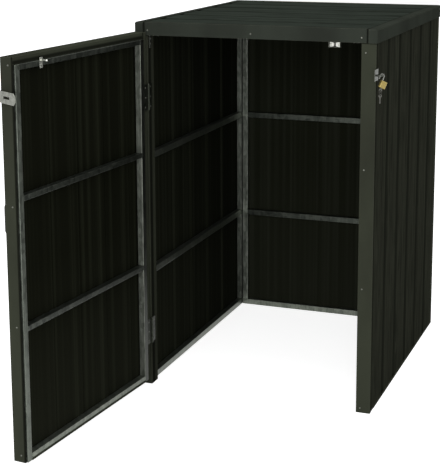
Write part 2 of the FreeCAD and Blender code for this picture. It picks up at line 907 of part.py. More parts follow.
def nodes():
    """Every piece by its name. A list is a group of separate solids."""
    upper_z = roof_rib - tube
    rail_levels = (lower_rail_z, upper_rail_z)
    right_mid = [side_rail(z) for z in rail_levels]
    door_mid = [door_rail(z, door_rail_tall) for z in (door_lower_rail_z, door_upper_rail_z)]
    top_rail_z = door_top - door_top_band - door_rail_tall
    found = {
        "back_panel": back_sheet(),
        "left_panel": left_sheet(),
        "right_panel": right_sheet(),
        "roof_panel": roof_sheet(),
        "back_bottom_rail": back_long_rail(0),
        "back_top_rail": back_long_rail(upper_z),
        "back_mid_rails": [back_rail(z) for z in rail_levels],
        "back_uprights": [back_upright(), mirrored(back_upright())],
        "right_bottom_rail": side_long_rail(0),
        "right_top_rail": side_long_rail(upper_z),
        "right_mid_rails": right_mid,
        "right_rear_upright": side_upright(),
        "left_bottom_rail": mirrored(side_long_rail(0)),
        "left_top_rail": mirrored(side_long_rail(upper_z)),
        "left_mid_rails": [mirrored(s) for s in right_mid],
        "left_rear_upright": mirrored(side_upright()),
        "hinge_post": post(hinge_post_wide),
        "lock_post": mirrored(post(lock_post_wide)),
        "front_fascia": fascia(),
        "right_roof_trim": roof_cap(),
        "left_roof_trim": mirrored(roof_cap()),
        "back_roof_trim": back_trim(),
        "rear_corner_trims": [rear_corner(), mirrored(rear_corner())],
        "corner_brackets": corner_brackets(),
        "frame_screws": frame_screws(),
        "hinge_post_leaves": [fixed_leaf(z) for z in hinge_heights],
        "hinge_pins": [hinge_pin(z) for z in hinge_heights],
        "staple_plate": staple_plate(),
        "staple_eye": staple_eye(),
        "catch_body": catch_body(),
        "catch_right_carrier": catch_carrier(),
        "catch_left_carrier": other_side(catch_carrier()),
        "catch_right_roller": catch_roller(),
        "catch_left_roller": other_side(catch_roller()),
        "door_panel": as_open(door_sheet()),
        "door_hinge_edge": as_open(door_edge(-1)),
        "door_free_edge": as_open(door_edge(1)),
        "door_top_edge": as_open(door_cross_edge(1)),
        "door_bottom_edge": as_open(door_cross_edge(-1)),
        "door_hinge_stile": as_open(door_upright(hinge_stile_x)),
        "door_free_stile": as_open(door_upright(free_stile_x)),
        "door_top_rail": as_open(door_rail(top_rail_z, door_rail_tall)),
        "door_bottom_rail": as_open(door_rail(door_bottom + trim_wall, tube)),
        "door_mid_rails": [as_open(s) for s in door_mid],
        "hinge_door_leaves": [as_open(hinge_leaf_on(z, 1)) for z in hinge_heights],
        "door_screws": door_screws(),
        "door_handle": as_open(pull_handle()),
        "catch_spear": as_open(catch_spear()),
        "hasp_plate": as_open(hasp_plate()),
        "hasp_pin": as_open(hasp_pin()),
        "hasp_strap": hasp_strap(),
        "padlock_shackle": shackle(),
        "padlock_case": padlock_case(),
        "padlock_plug": lock_plug(),
        "padlock_key": lock_key(),
        "key_ring": key_ring(),
        "spare_key": spare_key(),
    }
    return found


os.makedirs("parts", exist_ok=True)
for name, piece in nodes().items():
    solids = piece if isinstance(piece, list) else [piece]
    solids = [s for shape in solids for s in shape.Solids]
    out = solids[0] if len(solids) == 1 else Part.makeCompound(solids)
    out.exportStep("parts/" + name + ".step")
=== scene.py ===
import json
import math

import bmesh
import bpy
from mathutils import Matrix, Vector


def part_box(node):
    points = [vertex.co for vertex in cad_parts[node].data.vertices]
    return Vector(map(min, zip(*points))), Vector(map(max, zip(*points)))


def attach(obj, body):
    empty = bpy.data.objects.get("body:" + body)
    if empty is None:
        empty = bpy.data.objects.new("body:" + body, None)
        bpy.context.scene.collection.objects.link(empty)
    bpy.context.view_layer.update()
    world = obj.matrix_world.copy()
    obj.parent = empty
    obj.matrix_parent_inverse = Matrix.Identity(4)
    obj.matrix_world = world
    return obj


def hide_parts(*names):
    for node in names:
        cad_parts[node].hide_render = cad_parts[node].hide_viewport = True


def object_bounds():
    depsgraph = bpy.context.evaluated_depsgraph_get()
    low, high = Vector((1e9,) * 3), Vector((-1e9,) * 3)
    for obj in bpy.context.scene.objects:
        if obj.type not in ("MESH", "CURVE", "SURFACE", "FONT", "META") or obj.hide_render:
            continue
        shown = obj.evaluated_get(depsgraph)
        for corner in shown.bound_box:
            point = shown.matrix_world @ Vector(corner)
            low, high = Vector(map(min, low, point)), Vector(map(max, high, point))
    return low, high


# The looks of a steel store for one wheeled refuse bin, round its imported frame.
# Metres, in the frame's own axes: X to the lock side, Y to the back, Z up.

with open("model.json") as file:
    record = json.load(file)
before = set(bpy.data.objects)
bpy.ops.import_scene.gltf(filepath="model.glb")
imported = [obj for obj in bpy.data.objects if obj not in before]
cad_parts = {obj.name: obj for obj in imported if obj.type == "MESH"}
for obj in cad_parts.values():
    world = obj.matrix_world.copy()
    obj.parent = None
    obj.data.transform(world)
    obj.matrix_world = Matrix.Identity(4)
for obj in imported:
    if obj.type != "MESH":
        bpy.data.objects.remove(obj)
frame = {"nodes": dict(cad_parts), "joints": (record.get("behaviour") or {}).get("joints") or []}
nodes = frame["nodes"]
joints = {joint["name"]: joint for joint in frame["joints"]}
cad_low, cad_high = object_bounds()

X = Vector((1, 0, 0))
Y = Vector((0, 1, 0))
Z = Vector((0, 0, 1))
mm = 0.001

# The door stands open, so its own directions are turned from the walls'
door_angle = math.radians(-joints["door_hinge"]["range_deg"][0])
door_out = Vector((-math.sin(door_angle), -math.cos(door_angle), 0))
door_along = Z.cross(door_out)

# The photograph's camera
camera_place = Vector((1.2363, -4.4062, 1.5073))
camera_heading = math.radians(-20.8104)
camera_pitch = math.radians(-10.6104)
camera_roll = math.radians(-0.2386)
camera_lens = 98.246
camera_shift = -0.20
camera_sensor = 36
camera_near = 0.1
camera_far = 60

# The studio
store_middle = (0.0, -0.6, 0.5)
key_light_place = (0.5, -4.4, 1.6)
key_light_size = (2.4, 2.0)
key_light_power = 55
top_light_place = (0.0, -0.6, 4.8)
top_light_size = (3.0, 3.0)
top_light_power = 45
white = (1, 1, 1, 1)
world_fill = 0.75
world_seen = 1.0
floor_half = 14
floor_drop = 0.5 * mm
floor_glow = 0.8

# How far sharp edges are rounded, and how close two points are to count as one
weld_gap = 0.01 * mm
tube_edge = 1.6 * mm
trim_edge = 0.5 * mm
plate_edge = 0.3 * mm
case_edge = 0.8 * mm
handle_edge = 0.8 * mm
strip_edge = 0.2 * mm
key_edge = 0.15 * mm

# The least turn between two faces for their edge to be rounded
sharp = math.radians(40)
key_sharp = math.radians(50)

# How far the edge marks reach from an edge, on large pieces and on fittings, and the cosines
# between the rounded and the flat normal at which they start and are full. The marks are worn
# paint with a painted highlight on painted steel, and a painted highlight on the metals
edge_mark_reach = 1.2 * mm
fine_edge_highlight_reach = 0.6 * mm
edge_mark_start = 0.995
edge_mark_full = 0.90

# How far from a seam its shade reaches, and the share of that which is in full shade
seam_reach = 4.0 * mm
seam_core = 0.35

# Depth of a plank's groove at which its shade starts and is full
groove_start = 0.8 * mm
groove_shade = 3.2 * mm

# The strips that close the sheets at their feet
strip_wall = 0.8 * mm
strip_lap = 1.5 * mm
wall_strip_tall = 9.0 * mm
door_strip_tall = 7.0 * mm

# Screw heads, in shares of a head's own radius and height. Each is turned further than the last
screw_sides = 20
screw_dome = [(1.0, 0.0), (1.0, 0.22), (0.95, 0.5), (0.82, 0.76), (0.62, 0.93)]
recess_arm = 0.46
recess_half_arm = 0.12
recess_taper = 0.8
recess_top = 0.96
recess_floor = 0.3
screw_turn = 2.4

# Round wire
wire_sides = 20
arc_steps = 28

# The padlock. Its shackle is measured down from the bow's middle
shackle_r = 1.75 * mm
shackle_bend_r = 6.25 * mm
shackle_hang = 2.2 * mm
shackle_ease = 0.6 * mm
short_leg = 10.5 * mm
long_leg = 27.0 * mm
notch_low = 6.6 * mm
notch_high = 3.8 * mm
notch_slope = 0.6 * mm
notch_deep = 0.45 * mm
case_drop = 11.0 * mm
case_tall = 20.0 * mm
padlock_tilt = math.radians(26)
padlock_turn = math.radians(45)

# The keys and their ring
key_bow_r = 5.5 * mm
key_hole_r = 2.2 * mm
key_hole_drop = 2.1 * mm
key_shoulder = 2.5 * mm
key_blade = 4.6 * mm
key_wall = 1.6 * mm
key_stand_off = 1.0 * mm
key_in_lock = 16.5 * mm
key_long = 22.0 * mm
key_cuts = [0.9 * mm, 1.5 * mm, 0.6 * mm, 1.3 * mm, 0.8 * mm]
ring_wire_r = 0.33 * mm
ring_rest = 0.91 * mm
ring_winds = 2


def reach(name, way):
    """How far a frame node goes along a direction."""
    return max(v.co.dot(way) for v in nodes[name].data.vertices)


def colour(r, g, b):
    """A linear colour from the values 0 to 255 that a screen shows."""
    def linear(v):
        v = v / 255
        return v / 12.92 if v <= 0.04045 else ((v + 0.055) / 1.055) ** 2.4
    return (linear(r), linear(g), linear(b), 1.0)


def times(factor, values):
    """Each value times a factor."""
    return [v * factor for v in values]


def brighter(factor, values):
    """A colour whose values are a factor higher, up to white."""
    return colour(*[min(v, 255) for v in times(factor, values)])


class Shade:
    """A material with one Principled shader, and short ways to add nodes to it."""

    def __init__(self, name, rough=0.5, metal=0.0, gloss=0.5):
        self.material = bpy.data.materials.new(name)
        self.material.use_nodes = True
        self.tree = self.material.node_tree
        self.shader = self.tree.nodes["Principled BSDF"]
        self.shader.inputs["Roughness"].default_value = rough
        self.shader.inputs["Metallic"].default_value = metal
        self.shader.inputs["Specular IOR Level"].default_value = gloss
        self.place = self.add("ShaderNodeTexCoord")

    def add(self, kind, **settings):
        node = self.tree.nodes.new(kind)
        for key, value in settings.items():
            setattr(node, key, value)
        return node

    def join(self, source, target):
        self.tree.links.new(source, target)

    def put(self, socket, value):
        """Sets a socket to a value, or links it to another socket."""
        if isinstance(value, bpy.types.NodeSocket):
            self.join(value, socket)
        else:
            socket.default_value = value

    def stretched(self, scale):
        """Object coordinates times a scale along each axis."""
        node = self.add("ShaderNodeVectorMath", operation="MULTIPLY")
        self.join(self.place.outputs["Object"], node.inputs[0])
        node.inputs[1].default_value = scale
        return node.outputs[0]

    def along(self, way):
        """How far a point lies along a direction from the origin."""
        node = self.add("ShaderNodeVectorMath", operation="DOT_PRODUCT")
        self.join(self.place.outputs["Object"], node.inputs[0])
        node.inputs[1].default_value = way
        return node.outputs["Value"]

    def noise(self, scale, detail=3.0, rough=0.55, twist=0.0):
        """Clouds, with the scale's number of them in a metre along each axis."""
        node = self.add("ShaderNodeTexNoise")
        self.put(node.inputs["Vector"], self.stretched(scale))
        node.inputs["Scale"].default_value = 1.0
        node.inputs["Detail"].default_value = detail
        node.inputs["Roughness"].default_value = rough
        node.inputs["Distortion"].default_value = twist
        return node.outputs["Fac"]

    def cells(self, scale):
        """A random value for each cell of a crystal pattern."""
        node = self.add("ShaderNodeTexVoronoi")
        self.put(node.inputs["Vector"], self.stretched(scale))
        node.inputs["Scale"].default_value = 1.0
        split = self.add("ShaderNodeSeparateColor")
        self.join(node.outputs["Color"], split.inputs[0])
        return split.outputs[0]

    def ramp(self, value, low, high, to_low=0.0, to_high=1.0):
        """The value, spread from the range low to high on to another range."""
        node = self.add("ShaderNodeMapRange")
        self.put(node.inputs["Value"], value)
        node.inputs["From Min"].default_value = low
        node.inputs["From Max"].default_value = high
        node.inputs["To Min"].default_value = to_low
        node.inputs["To Max"].default_value = to_high
        return node.outputs["Result"]

    def maths(self, operation, a, b):
        """One step of arithmetic on two values."""
        node = self.add("ShaderNodeMath", operation=operation)
        self.put(node.inputs[0], a)
        self.put(node.inputs[1], b)
        return node.outputs[0]

    def share(self, value, part):
        """A part of the value."""
        return self.maths("MULTIPLY", value, part)

    def blend(self, share, first, second):
        """From the first colour to the second."""
        node = self.add("ShaderNodeMix", data_type="RGBA")
        self.put(node.inputs["Factor"], share)
        self.put(node.inputs[6], first)
        self.put(node.inputs[7], second)
        return node.outputs[2]

    def near(self, way, place, width):
        """1 on the plane across a direction at a place along it, and 0 further off than the width."""
        off = self.maths("SUBTRACT", self.along(way), place)
        gap = self.add("ShaderNodeMath", operation="ABSOLUTE")
        self.join(off, gap.inputs[0])
        return self.ramp(gap.outputs[0], width, width * seam_core)

    def shaded(self, base, seams, part):
        """The base colour, darkened towards painted shade by a part at each of the seams."""
        for way, place, width in seams:
            base = self.blend(self.share(self.near(way, place, width), part), base, painted_seam_shade)
        return base

    def edges(self, radius):
        """1 along the piece's edges and 0 on its faces."""
        bevel = self.add("ShaderNodeBevel", samples=4)
        bevel.inputs["Radius"].default_value = radius
        flat = self.add("ShaderNodeNewGeometry")
        near = self.add("ShaderNodeVectorMath", operation="DOT_PRODUCT")
        self.join(bevel.outputs[0], near.inputs[0])
        self.join(flat.outputs["Normal"], near.inputs[1])
        return self.ramp(near.outputs["Value"], edge_mark_start, edge_mark_full)

    def faces(self, way):
        """1 where the surface turns to a direction's side, and 0 on the other side and square to it."""
        dot = self.add("ShaderNodeVectorMath", operation="DOT_PRODUCT")
        self.join(self.place.outputs["Normal"], dot.inputs[0])
        dot.inputs[1].default_value = way
        return self.maths("GREATER_THAN", dot.outputs["Value"], 0.05)

    def bump(self, height, depth, strength=1.0):
        node = self.add("ShaderNodeBump")
        node.inputs["Strength"].default_value = strength
        node.inputs["Distance"].default_value = depth
        self.join(height, node.inputs["Height"])
        self.join(node.outputs[0], self.shader.inputs["Normal"])

    def finish(self, base, rough=None):
        """The material, once its colour and perhaps its roughness are set."""
        self.put(self.shader.inputs["Base Color"], base)
        if rough is not None:
            self.put(self.shader.inputs["Roughness"], rough)
        return self.material


# Paints

paint_dark = colour(48, 50, 42)
paint_mid = colour(56, 59, 49)
# Worn paint on the edges, pale enough to serve also as a painted highlight
paint_worn_and_lit = colour(92, 95, 83)
cap_dark = colour(43, 46, 41)
cap_mid = colour(51, 55, 49)
plank_dark = colour(38, 39, 33)
plank_mid = colour(48, 50, 42)
# The pores' colour is also painted as shade in the plank grooves
plank_pore_and_groove_shade = colour(25, 27, 22)
roof_dark = colour(40, 45, 40)
roof_mid = colour(54, 60, 54)
# The pores' colour is also painted as shade in the roof's grooves
roof_pore_and_groove_shade = colour(29, 32, 28)
wall_coat = colour(28, 30, 22)
wall_coat_pale = colour(40, 42, 34)
# The door's back coat is the walls' coat painted darker, as painted shade
door_coat_shaded = colour(18, 19, 13)
door_coat_pale_shaded = colour(28, 30, 22)
# Painted shade at seams, gaps and corners, and where the strips meet the floor
painted_seam_shade = colour(12, 13, 10)
# The back coat's paler colour towards the bottom
low_pale = colour(50, 52, 43)

# The wood grain's scale, small along the planks: up the walls and door, and across the roof
grain_up = (48, 48, 3.2)
grain_across = (3.2, 48, 48)


def smooth_paint(name, *seams, dark=paint_dark, mid=paint_mid):
    """Powder coat on the folded posts, trims and door edges.

    Each seam is a direction, a place along it and a width, where the piece meets its neighbour and
    lies in shade.
    """
    s = Shade(name, gloss=0.0)
    cloud = s.noise((6, 6, 3), 4)
    grit = s.noise((900, 900, 900), 2)
    patches = s.ramp(s.noise((40, 40, 12), 3), 0.35, 0.7, 0.25, 0.75)
    base = s.blend(s.ramp(cloud, 0.35, 0.65), dark, mid)
    # Worn paint in patches along the edges, also a painted highlight
    base = s.blend(s.share(s.edges(edge_mark_reach), patches), base, paint_worn_and_lit)
    base = s.shaded(base, seams, 0.8)
    s.bump(grit, 0.08 * mm, 0.5)
    return s.finish(base, s.ramp(cloud, 0.3, 0.7, 0.74, 0.86))


def cap_paint(name, *seams):
    """The same coat on the roof's caps and fascia, which the photograph shows a little colder."""
    return smooth_paint(name, *seams, dark=cap_dark, mid=cap_mid)


def sheet_paint(node, outward, grain, outer, inner, eave=None):
    """Plank sheet: wood-grained powder coat outside and a plain back coat inside.

    outward is the outside's direction. outer holds the dark and middle colours and the pores' colour,
    also used as painted shade in the grooves, inner the dark and pale ones, and eave is the height of
    the roof caps' lower edge, under which a shadow line is painted. The back coat's streaks are
    ten times longer along the planks than the wood grain.
    """
    dark, mid, pore_and_groove_shade = outer
    skin = reach(node, outward)
    s = Shade(node + "_paint", gloss=0.0)
    outside = s.faces(outward)
    broad = s.noise(times(0.45, grain), 4, 0.6, 1.4)
    fine = s.noise(grain, 5, 0.6, 0.9)
    pores = s.noise(times(2.6, grain), 3, 0.5, 0.3)
    streak = s.noise([g * 0.1 if g == min(grain) else g * 1.2 for g in grain], 2, 0.5)
    figure = s.maths("ADD", s.share(broad, 0.5), s.share(fine, 0.5))
    relief = s.maths("SUBTRACT", s.ramp(fine, 0.35, 0.65), s.share(s.ramp(pores, 0.52, 0.6), 0.5))
    painted = s.blend(s.ramp(figure, 0.36, 0.64), dark, mid)
    painted = s.blend(s.share(s.ramp(pores, 0.52, 0.62), 0.55), painted, pore_and_groove_shade)
    # Painted shade in the plank grooves, in the pores' colour
    groove = s.ramp(s.along(outward), skin - groove_start, skin - groove_shade)
    painted = s.blend(s.share(groove, 0.75), painted, pore_and_groove_shade)
    # A painted shadow line under the roof caps
    if eave is not None:
        painted = s.shaded(painted, [(Z, eave, seam_reach)], 0.8)
    coated = s.blend(s.ramp(streak, 0.45, 0.72), *inner)
    # The back coat turns paler towards the bottom
    coated = s.blend(s.ramp(s.along(Z), 0.55, 0.02, 0.0, 0.25), coated, low_pale)
    s.bump(s.share(relief, outside), 0.6 * mm, 0.7)
    return s.finish(s.blend(outside, coated, painted), s.ramp(fine, 0.3, 0.7, 0.72, 0.9))


# Metals and plastic

def galvanised(name, low, high, *seams, edge=1.5):
    """Zinc-coated steel tube with a faint spangle, rolling streaks and painted shade at its seams.

    edge is how many times brighter the painted highlight along the edges is than the pale colour.
    """
    s = Shade(name, metal=0.85, gloss=0.4)
    spangle = s.cells((95, 95, 60))
    streak = s.noise((160, 160, 9), 3)
    stain = s.noise((14, 14, 14), 4)
    value = s.maths("ADD", s.share(spangle, 0.35), s.share(streak, 0.65))
    base = s.blend(s.ramp(value, 0.25, 0.75), colour(*low), colour(*high))
    base = s.blend(s.share(s.ramp(stain, 0.5, 0.75), 0.4), base, colour(*times(0.8, low)))
    # A painted highlight along the edges, then painted shade at the seams
    base = s.blend(s.share(s.edges(edge_mark_reach), 0.7), base, brighter(edge, high))
    base = s.shaded(base, seams, 0.85)
    s.bump(streak, 0.1 * mm, 0.4)
    return s.finish(base, s.ramp(value, 0.2, 0.8, 0.3, 0.46))


def zinc(name, low, high, rough):
    """Zinc plate on the fittings and screws, with a painted highlight along the edges."""
    s = Shade(name, metal=0.8, gloss=0.5)
    cloud = s.noise((120, 120, 120), 4)
    scuff = s.noise((900, 900, 160), 3)
    base = s.blend(s.ramp(cloud, 0.3, 0.7), colour(*low), colour(*high))
    # A painted highlight along the edges
    base = s.blend(s.share(s.edges(fine_edge_highlight_reach), 0.5), base, brighter(1.6, high))
    s.bump(scuff, 0.05 * mm, 0.4)
    return s.finish(base, s.ramp(cloud, 0.3, 0.7, rough - 0.06, rough + 0.1))


def brass(name):
    """Brushed brass of the padlock's case and plug, with a painted highlight along the edges."""
    s = Shade(name, metal=0.7, gloss=0.5)
    brushed = s.noise((300, 300, 2200), 3)
    base = s.blend(s.ramp(brushed, 0.3, 0.7), colour(116, 102, 52), colour(182, 162, 98))
    # A painted highlight along the edges
    base = s.blend(s.share(s.edges(fine_edge_highlight_reach), 0.5), base, colour(226, 212, 156))
    s.bump(brushed, 0.04 * mm, 0.5)
    return s.finish(base, s.ramp(brushed, 0.3, 0.7, 0.28, 0.42))


def steel(name, low, high):
    """Polished steel of the shackle, the ring and the keys."""
    s = Shade(name, metal=0.9, gloss=0.5)
    rub = s.noise((500, 500, 500), 3)
    base = s.blend(s.ramp(rub, 0.3, 0.7), colour(*low), colour(*high))
    s.bump(rub, 0.03 * mm, 0.4)
    return s.finish(base, s.ramp(rub, 0.3, 0.7, 0.2, 0.34))


def moulded(name, dark, pale, rough):
    """Moulded plastic with a fine texture."""
    s = Shade(name, gloss=0.35)
    grain = s.noise((1400, 1400, 1400), 2)
    cloud = s.noise((30, 30, 30), 2)
    base = s.blend(s.ramp(cloud, 0.3, 0.7), colour(*dark), colour(*pale))
    s.bump(grain, 0.1 * mm, 0.4)
    return s.finish(base, s.ramp(grain, 0.3, 0.7, rough - 0.06, rough + 0.06))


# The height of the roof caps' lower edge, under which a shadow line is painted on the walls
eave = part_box("right_roof_trim")[0].z

# Seams where shade is painted: a direction, a place along it and a width
# A painted shadow line where the fascia meets each roof cap
right_cap_seam = (X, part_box("right_roof_trim")[0].x, seam_reach)
left_cap_seam = (X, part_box("left_roof_trim")[1].x, seam_reach)
# A painted shadow line on the posts under the fascia
fascia_foot = (Z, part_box("front_fascia")[0].z, seam_reach)
# Painted shade on the foot strips where they meet the floor
ground = (Z, cad_low.z, seam_reach)

# Painted shade on the posts' sides, behind their front fold
post_fold = (Y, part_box("lock_post")[0].y + 15.0 * mm, 14.0 * mm)

# Painted shade between the two tubes in each rear corner
corner_place = reach("left_rear_upright", X)
corner_seams = [(X, side * corner_place, 3.5 * mm) for side in (-1, 1)]

# The door: a painted shadow line across its top lip, painted shade in the gaps beside its tubes,
# and a painted reflection of the dark store on its hinge tube's inner face
door_top_shadow = (Z, reach("door_top_edge", Z) - 14.0 * mm, 7.0 * mm)
door_free_gap = (door_out, -reach("door_free_edge", -door_out) + 1.5 * mm, 4.5 * mm)
door_hinge_gap = (door_along, -reach("door_hinge_stile", -door_along) - 3.0 * mm, 5.0 * mm)
stile_shade = (door_out, -reach("door_hinge_stile", -door_out), 1.2 * mm)


# Each node's finish

outer = (plank_dark, plank_mid, plank_pore_and_groove_shade)
roof_outer = (roof_dark, roof_mid, roof_pore_and_groove_shade)
inner = (wall_coat, wall_coat_pale)
door_inner_shaded = (door_coat_shaded, door_coat_pale_shaded)

strip_paint = smooth_paint("strip_paint", ground)
screw_zinc = zinc("screw_zinc_plate", (70, 71, 66), (112, 114, 106), 0.4)
worn_zinc = zinc("worn_zinc_plate", (62, 64, 58), (90, 93, 86), 0.42)
polished = steel("polished_steel", (88, 88, 84), (134, 134, 128))
key_steel = steel("key_steel", (62, 62, 58), (98, 98, 92))
tubes = galvanised("galvanised_tube", (84, 89, 81), (122, 127, 117))

shared_finishes = [
    (
        smooth_paint("painted_steel"),
        ["back_roof_trim", "rear_corner_trims", "door_bottom_edge"],
    ),
    (
        smooth_paint("post_paint", fascia_foot, post_fold),
        ["hinge_post", "lock_post"],
    ),
    (
        # A lighter copy of the galvanised finish, as painted light on the rear corner tubes
        galvanised("corner_tube", (104, 109, 100), (148, 153, 143), *corner_seams),
        ["left_rear_upright", "right_rear_upright", "back_uprights"],
    ),
    (
        # A darker copy of the galvanised finish, as painted shade on the rails
        galvanised("shaded_tube", (48, 52, 47), (78, 82, 75)),
        ["back_mid_rails", "back_top_rail", "door_mid_rails", "door_top_rail"],
    ),
    (
        zinc("zinc_plate", (150, 152, 143), (212, 214, 204), 0.3),
        ["hinge_pins", "catch_right_carrier", "catch_left_carrier", "catch_spear"],
    ),
    (
        zinc("hasp_zinc_plate", (94, 96, 89), (138, 140, 131), 0.3),
        ["hasp_plate", "hasp_pin", "hasp_strap"],
    ),
    (
        zinc("dull_zinc_plate", (31, 34, 27), (52, 56, 47), 0.45),
        ["hinge_post_leaves", "hinge_door_leaves"],
    ),
    (
        worn_zinc,
        ["staple_plate", "corner_brackets"],
    ),
]

finishes = {
    "back_panel": sheet_paint("back_panel", Y, grain_up, outer, inner, eave),
    "left_panel": sheet_paint("left_panel", -X, grain_up, outer, inner, eave),
    "right_panel": sheet_paint("right_panel", X, grain_up, outer, inner, eave),
    "roof_panel": sheet_paint("roof_panel", Z, grain_across, roof_outer, inner),
    "door_panel": sheet_paint("door_panel", door_out, grain_up, outer, door_inner_shaded),
    "right_roof_trim": cap_paint("right_cap_paint", right_cap_seam),
    "left_roof_trim": cap_paint("left_cap_paint", left_cap_seam),
    "front_fascia": cap_paint("fascia_paint", right_cap_seam, left_cap_seam),
    "door_top_edge": smooth_paint("door_top_paint", door_top_shadow),
    "door_free_edge": smooth_paint("door_free_paint", door_free_gap),
    "door_hinge_edge": smooth_paint("door_hinge_paint", door_hinge_gap),
    # A darker copy with a stronger painted highlight, as painted shade on the free stile
    "door_free_stile": galvanised("free_tube", (66, 70, 63), (96, 101, 93), edge=2.1),
    # A lighter copy of the galvanised finish, as painted light on the hinge stile
    "door_hinge_stile": galvanised("lit_tube", (122, 127, 117), (166, 171, 160), stile_shade),
    "padlock_case": brass("padlock_brass"),
    "padlock_plug": brass("plug_brass"),
    "door_handle": moulded("handle_plastic", (18, 18, 17), (27, 27, 25), 0.5),
    "catch_right_roller": moulded("right_roller_plastic", (218, 218, 210), (236, 236, 230), 0.4),
    "catch_left_roller": moulded("left_roller_plastic", (218, 218, 210), (236, 236, 230), 0.4),
    "catch_body": zinc("catch_steel", (58, 60, 54), (84, 86, 78), 0.45),
}
for material, names in shared_finishes:
    finishes.update(dict.fromkeys(names, material))


def dress(name):
    """Gives a frame node its material. The tubes that have none of their own share one."""
    for slot in nodes[name].material_slots:
        slot.material = finishes.get(name, tubes)


for name in nodes:
    dress(name)


# Rounded edges

def soften(name, width, segments=2):
    """Rounds a node's sharp edges a little, so that they catch the light."""
    o = nodes[name]
    weld = o.modifiers.new("weld", "WELD")
    weld.merge_threshold = weld_gap
    bevel = o.modifiers.new("soft_edges", "BEVEL")
    bevel.width = width
    bevel.segments = segments
    bevel.limit_method = "ANGLE"
    bevel.angle_limit = sharp
    bevel.harden_normals = True


for name in nodes:
    if name.endswith(("_rail", "_rails", "_upright", "_uprights", "_stile")):
        soften(name, tube_edge, 3)
    elif name.endswith(("_trim", "_trims", "_edge", "_post", "_fascia")):
        soften(name, trim_edge)
for name in ("staple_plate", "catch_body", "catch_spear", "corner_brackets", "hasp_plate", "hasp_strap"):
    soften(name, plate_edge)
soften("padlock_case", case_edge, 3)
soften("door_handle", handle_edge, 3)


# New pieces

def piece(name, shape, material, body, slot, *replaced):
    """A new object from a finished shape, on its body, in place of frame nodes."""
    mesh = bpy.data.meshes.new(name)
    shape.to_mesh(mesh)
    shape.free()
    mesh.materials.append(material)
    o = bpy.data.objects.new(name, mesh)
    bpy.context.scene.collection.objects.link(o)
    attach(o, body)
    if replaced:
        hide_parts(*replaced)
    return o


def circle(radius, sides):
    """Points round a circle on a plane."""
    turns = [2 * math.pi * k / sides for k in range(sides)]
    return [(radius * math.cos(a), radius * math.sin(a)) for a in turns]


# Screws

def dome(shape):
    """A head's round side, of radius 1 and height 1, and the edges of its open top."""
    rings = []
    for r, h in screw_dome:
        rings.append([shape.verts.new((x, y, h)) for x, y in circle(r, screw_sides)])
    for low_ring, high_ring in zip(rings, rings[1:]):
        for k in range(screw_sides):
            after = (k + 1) % screw_sides
            face = shape.faces.new((low_ring[k], low_ring[after], high_ring[after], high_ring[k]))
            face.smooth = True
    return [shape.edges.get((rings[-1][k - 1], rings[-1][k])) for k in range(screw_sides)]


def cross_outline():
    """The corners of the cross recess, in order round it."""
    quarter = [
        (recess_half_arm, recess_arm),
        (recess_half_arm, recess_half_arm),
        (recess_arm, recess_half_arm),
    ]
    outline = []
    for x_side, y_side in ((1, 1), (1, -1), (-1, -1), (-1, 1)):
        corner = quarter if x_side == y_side else quarter[::-1]
        outline += [(x * x_side, y * y_side) for x, y in corner]
    return outline


def screw_head():
    """A domed head with a cross recess, of radius 1 and height 1."""
    shape = bmesh.new()
    rim = dome(shape)
    outline = cross_outline()
    top = [shape.verts.new((x, y, recess_top)) for x, y in outline]
    floor = [shape.verts.new((x * recess_taper, y * recess_taper, recess_floor)) for x, y in outline]
    lip = [shape.edges.new((top[k - 1], top[k])) for k in range(len(outline))]
    bmesh.ops.triangle_fill(shape, use_beauty=True, edges=rim + lip, normal=(0, 0, 1))
    for k in range(len(outline)):
        shape.faces.new((top[k - 1], top[k], floor[k], floor[k - 1]))
    shape.faces.new(floor)
    bmesh.ops.recalc_face_normals(shape, faces=shape.faces)
    mesh = bpy.data.meshes.new("screw_head")
    shape.to_mesh(mesh)
    shape.free()
    return mesh


def islands(name):
    """The separate solids of a node, each as a list of its faces, with the mesh that holds them."""
    shape = bmesh.new()
    shape.from_mesh(nodes[name].data)
    bmesh.ops.remove_doubles(shape, verts=shape.verts, dist=weld_gap)
    left = set(shape.faces)
    groups = []
    while left:
        group = []
        waiting = [left.pop()]
        while waiting:
            face = waiting.pop()
            group.append(face)
            near = {other for edge in face.edges for other in edge.link_faces} & left
            left -= near
            waiting += near
        groups.append(group)
    return shape, groups


def head_seat(group):
    """A head's middle, outward direction, radius and height, read from its solid.

    The head's flat underside has the most area, so outward is the opposite of the way it faces.
    """
    areas = {}
    for face in group:
        way = tuple(round(v, 2) + 0.0 for v in face.normal)
        areas.setdefault(way, []).append(face)
    ranked = sorted(areas, key=lambda way: -sum(face.calc_area() for face in areas[way]))
    out = -Vector(ranked[0]).normalized()
    points = {v for face in group for v in face.verts}
    heights = [v.co.dot(out) for v in points]
    foot = [v.co for v in points if v.co.dot(out) < min(heights) + 2 * weld_gap]
    middle = sum(foot, Vector()) / len(foot)
    radius = max((p - middle).length for p in foot)
    return middle, out, radius, max(heights) - min(heights)


def seat_order(seat):
    """Sorts the heads by place, so that each run numbers them alike."""
    return tuple(round(v, 4) for v in seat[0])


def screws(name, node, body):
    """One piece with a fine head in the place of each plain one, each turned a little further."""
    template = screw_head()
    source, groups = islands(node)
    seats = sorted((head_seat(group) for group in groups), key=seat_order)
    whole = bmesh.new()
    for number, (middle, out, radius, tall) in enumerate(seats):
        turned = Matrix.Rotation(number * screw_turn, 4, "Z")
        size = Matrix.Diagonal((radius, radius, tall, 1.0))
        facing = out.to_track_quat("Z", "Y").to_matrix().to_4x4()
        head = template.copy()
        head.transform(Matrix.Translation(middle) @ facing @ turned @ size)
        whole.from_mesh(head)
        bpy.data.meshes.remove(head)
    source.free()
    piece(name, whole, screw_zinc, body, "zinc", node)


